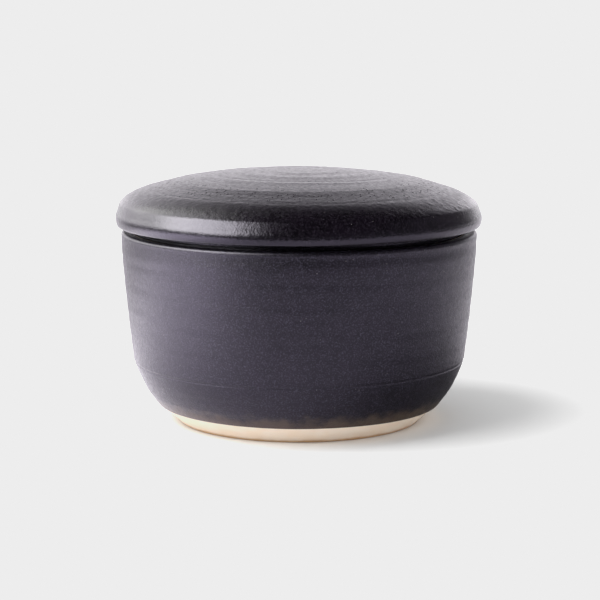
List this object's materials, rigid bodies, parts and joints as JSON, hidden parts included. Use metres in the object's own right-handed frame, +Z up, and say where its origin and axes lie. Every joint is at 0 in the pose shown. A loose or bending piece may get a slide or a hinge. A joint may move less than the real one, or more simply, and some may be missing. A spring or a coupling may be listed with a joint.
{
  "type": "sugar bowl",
  "caption": "Wheel-thrown stoneware sugar bowl with a domed, overhanging lift-off lid, satin black glaze and a bare clay foot.",
  "frame": {"origin": "centre of the foot ring's resting plane", "axes": "+Z up along the throwing axis of bowl and lid; the piece is round, so X and Y are free"},
  "size_m": [0.1104, 0.1104, 0.0758],
  "materials": {
    "bare_stoneware": "unglazed fired cream clay, dry and fine-grained",
    "black_satin_glaze": "satin near-black glaze with a fine speckle, throwing lines and a few pinholes"
  },
  "bodies": {
    "bowl": {"bowl_body": "bare_stoneware", "bowl_outer_glaze": "black_satin_glaze", "bowl_inner_glaze": "black_satin_glaze"},
    "lid": {"lid_body": "bare_stoneware", "lid_outer_glaze": "black_satin_glaze", "lid_inner_glaze": "black_satin_glaze"}
  },
  "joints": [
    {"name": "lid_lift", "type": "slide", "parent": "bowl", "child": "lid", "axis": [0, 0, 1], "range_m": [0, 0.04]}
  ]
}
